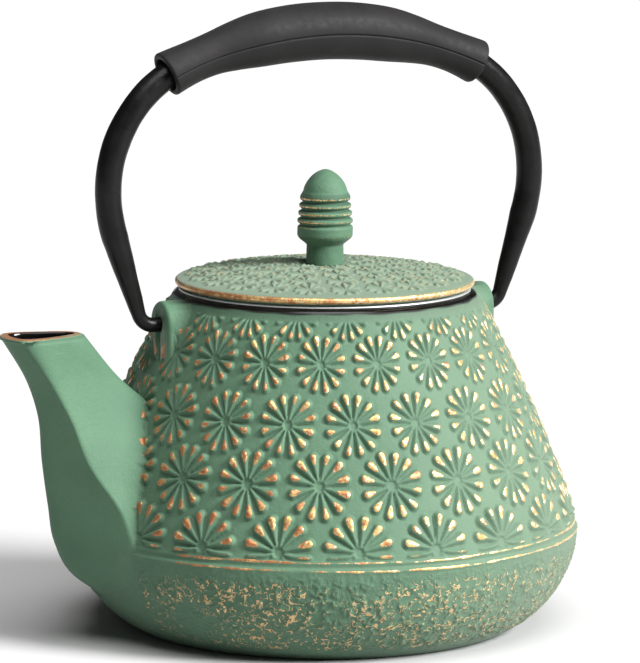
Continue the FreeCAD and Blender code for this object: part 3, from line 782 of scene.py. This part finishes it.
def lid_relief(radius, turn):
    """Relief in millimetres and gold from 0 to 1 on the top of the lid."""
    relief, gold = np.zeros_like(radius), np.zeros_like(radius)
    for ring, (place, count) in enumerate(LID_RINGS):
        near = np.abs(radius - place) < LID_STAR * 1.05
        pitch = 2 * math.pi / count
        number = np.round(turn[near] / pitch - ring * 0.5)
        offset = turn[near] - (number + ring * 0.5) * pitch
        high, bright = star(offset * place, radius[near] - place, LID_STAR,
                            np.mod(number, count) * 2.3 + ring * 9.1, petals=LID_PETALS)
        relief[near] = np.maximum(relief[near], high * LID_PETAL_HEIGHT)
        gold[near] = np.maximum(gold[near], bright)
    field = smooth(7.0, 8.0, radius) * (1 - smooth(42.6, 43.4, radius))
    return relief * field, gold * field


def lid(patina):
    inside = SKIRT_RADIUS - SKIRT_THICKNESS
    dome = spread(arc((LID_EDGE, SEAT + 2.75), (6.4, SEAT + LID_CROWN), LID_DOME, 1, 60), 0.36)
    edge = rounded([(43.4, SEAT), (LID_RADIUS - 0.35, SEAT + 0.75), (LID_RADIUS, SEAT + 1.7),
                    (LID_RADIUS - 0.6, SEAT + 2.45), (LID_EDGE, SEAT + 2.75)], 0.5, 5)
    under = arc((2.7, SEAT + LID_CROWN - 3.3), (inside, SEAT + 0.3), LID_DOME, -1, 12)
    skirt = rounded([under[-1], (inside, SEAT - SKIRT_DEPTH), (SKIRT_RADIUS, SEAT - SKIRT_DEPTH),
                     (SKIRT_RADIUS, SEAT), (43.4, SEAT)], 0.5, 4)
    outline = chain(under, skirt, edge, dome, [(2.7, SEAT + LID_CROWN)])

    def shape(grid):
        radius = np.hypot(grid[..., 0], grid[..., 1])
        top = (grid[..., 2] > SEAT + 2.7) & (radius < 44.2) & (radius > 6.5)
        top[:len(under)] = False
        relief, _ = lid_relief(radius[top], np.arctan2(grid[..., 1], grid[..., 0])[top])
        grid[..., 2][top] += relief
        return grid

    piece = turned("lid_casting_look", outline, 900, closed=True, shape=shape)
    outward(piece)
    points = points_of(piece)
    radius = np.hypot(points[:, 0], points[:, 1])
    turn = np.arctan2(points[:, 1], points[:, 0])
    _, gold = lid_relief(radius, turn)
    gold = 0.16 + gold * 0.44
    gold[points[:, 2] < SEAT + 2.5] = 0
    bead = (radius > 43.9) & (points[:, 2] > SEAT + 0.5)
    ring = smooth(44.3, 45.2, radius) * (1 - smooth(SEAT + 2.3, SEAT + 2.7, points[:, 2]))
    gold = np.where(bead, np.maximum(ring, 0) * (0.78 + 0.16 * np.sin(turn * 2 + 0.4)), gold)
    # the lid's top: pale dust and a painted sheen, lighter where the light falls on it from above
    set_values(piece, wear=gold, dust=np.where(points[:, 2] > SEAT + 2.5, 0.52, 0.0))
    piece.data.materials.append(patina)
    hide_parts("lid_casting")
    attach(piece, "lid")


def knob_outline():
    """Outside of the knob from its foot up: neck, flare, barrel, ribs, pointed cap."""
    corners = [(5.75, KNOB_FOOT), (5.6, KNOB_FOOT + 6.0), (7.9, KNOB_BARREL - 0.5),
               (BARREL_RADIUS, KNOB_BARREL + 0.4), (BARREL_RADIUS, KNOB_BARREL + 3.0)]
    for rib in range(RIBS):
        low = KNOB_BARREL + RIB_START + RIB_STEP * rib
        radius = BARREL_RADIUS - 0.27 * rib
        corners += [(radius - 0.75, low + 0.3), (radius - 0.75, low + 0.75),
                    (radius, low + 1.2), (radius, low + 2.1)]
    shell = rounded(corners + [(6.75, KNOB_CAP)], 0.38, 5)
    point = arc((6.75, KNOB_CAP), (1.4, KNOB_TOP - 0.25), 9.0, 1, 16)
    return chain(shell, point, rounded([point[-1], (0.7, KNOB_TOP), (0.0, KNOB_TOP)], 0.6, 4))


def knob(patina):
    bore = [(0, KNOB_FOOT + SCREW_DEPTH), (SCREW_RADIUS, KNOB_FOOT + SCREW_DEPTH),
            (SCREW_RADIUS, KNOB_FOOT)]
    outline = chain(bore, spread(knob_outline(), 0.35))

    def shape(grid):
        flat = grid.reshape(-1, 3)
        wave = grain(flat, 0.35) * 0.09
        radius = np.hypot(flat[:, 0], flat[:, 1])
        outer = radius > SCREW_RADIUS + 0.1
        flat[outer, :2] *= (1 + wave / np.maximum(radius, 1))[outer, None]
        return grid

    piece = outward(turned("lid_knob_look", outline, 144, shape=shape))
    points = points_of(piece)
    radius = np.hypot(points[:, 0], points[:, 1])
    above = points[:, 2] - KNOB_BARREL
    gold = np.zeros(len(points))
    for number in range(RIBS):
        crest = RIB_START + RIB_STEP * number + 1.65
        gold = np.maximum(gold, np.exp(-((above - crest) / 0.55) ** 2))
    for crest in (3.0, 0.3):
        gold = np.maximum(gold, 0.85 * np.exp(-((above - crest) / 0.4) ** 2))
    cap = KNOB_CAP - KNOB_BARREL
    ribbed = smooth(2.9, 3.4, above) * (1 - smooth(cap - 0.8, cap - 0.2, above))
    # painted shade in the grooves between the knob's ribs
    set_values(piece, wear=gold * 0.6 * (radius > 7), hollow=0.55 * (radius < 7.8) * ribbed)
    piece.data.materials.append(patina)
    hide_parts("lid_knob")
    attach(piece, "lid")


# ---------------------------------------------------------------- the bail and its grip
def bail_path():
    """Centre line of the +X half from the hooked tip to the top, with each point's radius."""
    leg = np.array([LEG_REACH - LEG_ARC, LEG_HEIGHT])
    bend = np.array([HOOK_START, HINGE_HEIGHT + HOOK_BEND])
    way = bend - leg
    end = math.atan2(way[1], way[0]) + math.acos((LEG_ARC - HOOK_BEND) / np.hypot(*way))
    corner = np.array([LEG_REACH - CORNER_ARC, LEG_HEIGHT])
    arch = np.array([0.0, ARCH_HEIGHT - ARCH_ARC])
    way = corner - arch
    meet = math.atan2(way[1], way[0])

    def bow(centre, radius, start, stop, count):
        angles = np.linspace(start, stop, count)
        return centre + radius * np.stack([np.cos(angles), np.sin(angles)], 1)

    hook = bow(bend, HOOK_BEND, -math.pi / 2, end, 16)
    upper = bow(leg, LEG_ARC, end, 0, 24)
    rod = np.linspace((HOOK_TIP, HINGE_HEIGHT), hook[0], 8)
    taper = np.linspace(hook[-1], upper[0], 22)
    runs = [rod, hook, taper, upper, bow(corner, CORNER_ARC, 0, meet, 32),
            bow(arch, ARCH_ARC, meet, math.pi / 2, 36)]
    thick = [np.full(len(run), LEG_RADIUS) for run in runs]
    thick[0][:] = thick[1][:] = HOOK_RADIUS
    thick[2] = np.linspace(HOOK_RADIUS, LEG_RADIUS, len(taper))
    return np.concatenate(runs), np.concatenate(thick)


def bail(black):
    half, radii = bail_path()
    keep = np.ones(len(half), bool)
    keep[1:] = np.hypot(*np.diff(half, axis=0).T) > 1e-4
    half, radii = half[keep], radii[keep]
    line = np.concatenate([half, half[-2::-1] * (-1, 1)])
    radii = np.concatenate([radii, radii[-2::-1]])
    tangent = np.gradient(line, axis=0)
    tangent /= np.hypot(*tangent.T)[:, None]
    centres = [np.array([x - END_PLAY, 0, z]) for x, z in line]
    frames = [(np.array([0, 1.0, 0]), np.array([t[1], 0, -t[0]])) for t in tangent]
    ease = [0.62, 0.9] + [1] * (len(radii) - 4) + [0.9, 0.62]
    piece = tube("bail_handle_look", centres, frames, radii * ease,
                 np.linspace(0, 2 * math.pi, 40, endpoint=False))
    outward(piece)
    points = points_of(piece)
    wave = grain(points, 0.11) * 0.14 + grain(points, 0.4) * 0.035
    normals = np.empty(len(points) * 3)
    piece.data.vertices.foreach_get("normal", normals)
    outside = np.abs(points[:, 0]) > LUG_REACH + 3
    points += normals.reshape(-1, 3) * (wave * outside)[:, None]
    piece.data.vertices.foreach_set("co", (points * MM).ravel())
    piece.data.update()
    piece.data.materials.append(black)
    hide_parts("bail_handle")
    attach(piece, "bail")


def grip(charcoal):
    """Sleeve swept along the arch: thick rounded mouths, full middle and a closed slit."""
    table = np.array(GRIP_SECTIONS, float)
    end = table[-1, 0]
    angles = np.concatenate([-table[:0:-1, 0], table[:, 0]])
    radii = np.concatenate([table[:0:-1, 1], table[:, 1]])
    outer_angle = np.linspace(-end, end, 121)
    outer = [eased(angles, radii, angle) for angle in outer_angle]
    way = np.radians(outer_angle) * ARCH_ARC
    rim = np.radians(end) * ARCH_ARC
    loop = [(-rim, GRIP_MOUTH), (-rim, outer[0])] + list(zip(way[2:-2], outer[2:-2]))
    loop += [(rim, outer[-1]), (rim, GRIP_MOUTH), (rim - GRIP_MOUTH_DEPTH, GRIP_MOUTH),
             (rim - GRIP_MOUTH_DEPTH, GRIP_BORE), (-rim + GRIP_MOUTH_DEPTH, GRIP_BORE),
             (-rim + GRIP_MOUTH_DEPTH, GRIP_MOUTH), (-rim, GRIP_MOUTH)]
    soft = spread(rounded(loop, 0.75, 5)[1:], 1.6)
    soft = soft[:-1] if np.hypot(*(soft[0] - soft[-1])) < 0.2 else soft

    # points right round, with more of them at the slit under the grip
    slit = math.radians(GRIP_SLIT)
    around = np.linspace(0, 2 * math.pi, 84, endpoint=False) + slit + 0.06
    around = np.concatenate([around, slit + np.array([-0.045, -0.022, 0.0, 0.022, 0.045])])
    around = np.sort(np.mod(around, 2 * math.pi))
    near_slit = np.abs(np.mod(around - slit + math.pi, 2 * math.pi) - math.pi)
    points = []
    for along, radius in soft:
        turn = math.pi / 2 - along / ARCH_ARC
        up = np.array([math.cos(turn), 0, math.sin(turn)])
        centre = np.array([-END_PLAY, 0, ARCH_HEIGHT - ARCH_ARC]) + ARCH_ARC * up
        outside = radius > GRIP_MOUTH + 0.4
        size = radius - outside * SLIT_DEPTH * np.exp(-(near_slit / 0.02) ** 2)
        points.append(centre + np.outer(size * np.cos(around), up)
                      + np.outer(size * np.sin(around), [0, 1.0, 0]))
    faces = ring_faces(len(soft), len(around), True)
    piece = outward(mesh_object("handle_grip_look", np.concatenate(points), faces))
    piece.data.materials.append(charcoal)
    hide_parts("handle_grip")
    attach(piece, "bail")


# ---------------------------------------------------------------- the basket
def basket(steel, wire):
    """Flange with a rolled edge and collar, woven mesh tube and floor, and the foot ring."""
    lip, floor = LIP_HEIGHT, BASKET_FLOOR
    inner, outer = BASKET_RADIUS + 0.02, BASKET_RADIUS + 0.5
    ring = rounded([(inner, lip - 3), (inner, lip - 6), (outer, lip - 6), (outer, lip + 0.02),
                    (43.9, lip + 0.02), (44.4, lip + 0.12), (44.4, lip + 0.62), (42.9, SEAT),
                    (inner, SEAT), (inner, lip - 3)], 0.28, 4)[:-1]
    rim = outward(turned("infuser_rim_look", ring, 256, closed=True))
    band = rounded([(inner, floor + 1.5), (inner, floor + 0.02), (outer, floor + 0.02),
                    (outer, floor + 3), (inner, floor + 3), (inner, floor + 1.5)], 0.2, 4)[:-1]
    foot = outward(turned("infuser_foot_ring_look", band, 192, closed=True))
    for piece, node in ((rim, "infuser_rim"), (foot, "infuser_foot_ring")):
        piece.data.materials.append(steel)
        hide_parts(node)
        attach(piece, "basket")

    wall, base = woven_wall(), woven_floor()
    for piece, node in ((wall, "infuser_mesh_wall"), (base, "infuser_mesh_floor")):
        piece.data.materials.append(wire)
        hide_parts(node)
        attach(piece, "basket")


WIRE, WEAVE, CRIMP = 0.13, 1.3, 0.1     # wire radius, distance between wires, and their wave


def many_bars(name, paths, closed):
    """Thin square-section wires along paths of points, all in one mesh."""
    points, faces, corners = [], [], 4
    for path, is_closed in zip(paths, closed):
        path = np.asarray(path)
        ahead = np.roll(path, -1, 0) - np.roll(path, 1, 0)
        if not is_closed:
            ahead[0], ahead[-1] = path[1] - path[0], path[-1] - path[-2]
        ahead /= np.linalg.norm(ahead, axis=1)[:, None]
        hint = np.where(np.abs(ahead[:, 2:]) > 0.7, [[1.0, 0.1, 0.0]], [[0.0, 0.0, 1.0]])
        side = np.cross(ahead, hint)
        side /= np.linalg.norm(side, axis=1)[:, None]
        up = np.cross(side, ahead)
        base, count = sum(len(p) for p in points), len(path)
        quad = [path + WIRE * (math.cos(a) * side + math.sin(a) * up)
                for a in (0, math.pi / 2, math.pi, 1.5 * math.pi)]
        points.append(np.stack(quad, 1).reshape(-1, 3))
        for k in range(count if is_closed else count - 1):
            a, b = base + k * corners, base + (k + 1) % count * corners
            faces += [(a + c, b + c, b + (c + 1) % corners, a + (c + 1) % corners)
                      for c in range(corners)]
        if not is_closed:
            last = base + (count - 1) * corners
            faces += [(base, base + 1, base + 2, base + 3), (last + 3, last + 2, last + 1, last)]
    return outward(mesh_object(name, np.concatenate(points), faces))


def woven_wall():
    middle = BASKET_RADIUS - 0.24
    low, high = BASKET_FLOOR + 0.6, LIP_HEIGHT - 0.4
    uprights = int(round(2 * math.pi * middle / WEAVE / 2)) * 2
    levels = np.arange(low + 0.4, high, WEAVE)
    paths, closed = [], []
    for k in range(uprights):
        angle = 2 * math.pi * k / uprights
        radius = middle + CRIMP * np.where((np.arange(len(levels)) + k) % 2, 1, -1)
        paths.append(np.column_stack([radius * math.cos(angle), radius * math.sin(angle), levels]))
        closed.append(False)
    angles = 2 * math.pi * np.arange(uprights) / uprights
    for number, level in enumerate(levels):
        radius = middle - CRIMP * np.where((np.arange(uprights) + number) % 2, 1, -1)
        paths.append(np.column_stack([radius * np.cos(angles), radius * np.sin(angles),
                                      np.full(uprights, level)]))
        closed.append(True)
    return many_bars("infuser_mesh_wall_look", paths, closed)


def woven_floor():
    reach, level = BASKET_RADIUS - 0.1, BASKET_FLOOR + 0.24
    paths, closed = [], []
    for direction in (0, 1):
        for number, offset in enumerate(np.arange(-reach + 0.6, reach - 0.5, WEAVE)):
            half = math.sqrt(reach ** 2 - offset ** 2)
            along = np.arange(-half, half, WEAVE)
            if len(along) < 3:
                continue
            over = (np.arange(len(along)) + number + direction) % 2
            lift = level + CRIMP * np.where(over, 1, -1)
            flat = np.full(len(along), offset)
            columns = [along, flat] if direction == 0 else [flat, along]
            paths.append(np.column_stack(columns + [lift]))
            closed.append(False)
    return many_bars("infuser_mesh_floor_look", paths, closed)


def fasteners(zinc):
    """The knob's screw and washer keep their CAD shape."""
    for node in ("knob_screw", "knob_washer"):
        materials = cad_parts[node].data.materials
        materials.clear()
        materials.append(zinc)


# ---------------------------------------------------------------- camera, light and floor
VIEW_TURN = 26.0
CAMERA_DISTANCE, CAMERA_HEIGHT, AIM_HEIGHT, AIM_SIDE = 1500.0, 316.7, 89.3, -1.35
LENS, SENSOR, CAMERA_ROLL = 280.7, 36.0, 0.34
FLOOR_HALF, FLOOR_DROP = 9000.0, 0.05
WORLD_LIGHT = 0.06


def camera():
    turn = math.radians(VIEW_TURN)
    right = Vector((math.cos(turn), -math.sin(turn), 0))
    away = Vector((math.sin(turn), math.cos(turn), 0))
    place = right * AIM_SIDE - away * CAMERA_DISTANCE + Vector((0, 0, CAMERA_HEIGHT))
    aim = right * AIM_SIDE + Vector((0, 0, AIM_HEIGHT))
    data = bpy.data.cameras.new("camera")
    data.sensor_width = SENSOR
    data.sensor_fit = "HORIZONTAL"
    data.lens = LENS
    data.clip_start, data.clip_end = 0.05, 40
    thing = bpy.data.objects.new("camera", data)
    bpy.context.scene.collection.objects.link(thing)
    facing = (aim - place).to_track_quat("-Z", "Y").to_matrix().to_4x4()
    roll = Matrix.Rotation(math.radians(CAMERA_ROLL), 4, "Z")
    thing.matrix_world = Matrix.Translation(place * MM) @ facing @ roll
    bpy.context.scene.camera = thing


def sun(name, azimuth, elevation, strength, spread_angle):
    """Broad distant light; azimuth is measured from the camera's side, to the right."""
    turn = math.radians(VIEW_TURN - azimuth)
    level = math.radians(elevation)
    out = Vector((-math.sin(turn) * math.cos(level), -math.cos(turn) * math.cos(level), math.sin(level)))
    data = bpy.data.lights.new(name, "SUN")
    data.energy = strength
    data.angle = math.radians(spread_angle)
    thing = bpy.data.objects.new(name, data)
    bpy.context.scene.collection.objects.link(thing)
    thing.matrix_world = (-out).to_track_quat("-Z", "Y").to_matrix().to_4x4()


def studio():
    corners = [(x * FLOOR_HALF, y * FLOOR_HALF, -FLOOR_DROP)
               for x, y in ((-1, -1), (1, -1), (1, 1), (-1, 1))]
    floor = mesh_object("floor", corners, [(0, 1, 2, 3)], False)
    m = Shade("floor_white", Roughness=0.7, Specular_IOR_Level=0.2)
    m.colour(m.ramp(m.noise(3, 2), [(0.3, (0.51, 0.51, 0.51)), (0.7, (0.52, 0.52, 0.52))]))
    floor.data.materials.append(m.material)
    world = bpy.data.worlds.new("studio")
    world.use_nodes = True
    background = world.node_tree.nodes["Background"]
    background.inputs["Color"].default_value = (1, 1, 1, 1)
    background.inputs["Strength"].default_value = WORLD_LIGHT
    bpy.context.scene.world = world
    bpy.context.scene.view_settings.view_transform = "Standard"
    sun("key", azimuth=64, elevation=32, strength=7.2, spread_angle=22)
    sun("top", azimuth=15, elevation=68, strength=2.9, spread_angle=46)


def main():
    camera()
    studio()
    patina, enamel = patina_material(), enamel_material()
    pot(patina, enamel)
    lid(patina)
    knob(patina)
    bail(black_tube_material())
    grip(grip_material())
    basket(steel_material("brushed_steel", (1, 1, 12)), steel_material("steel_wire", (1, 1, 1)))
    fasteners(steel_material("zinc_steel", (1, 1, 6), (0.66, 0.67, 0.7)))


main()
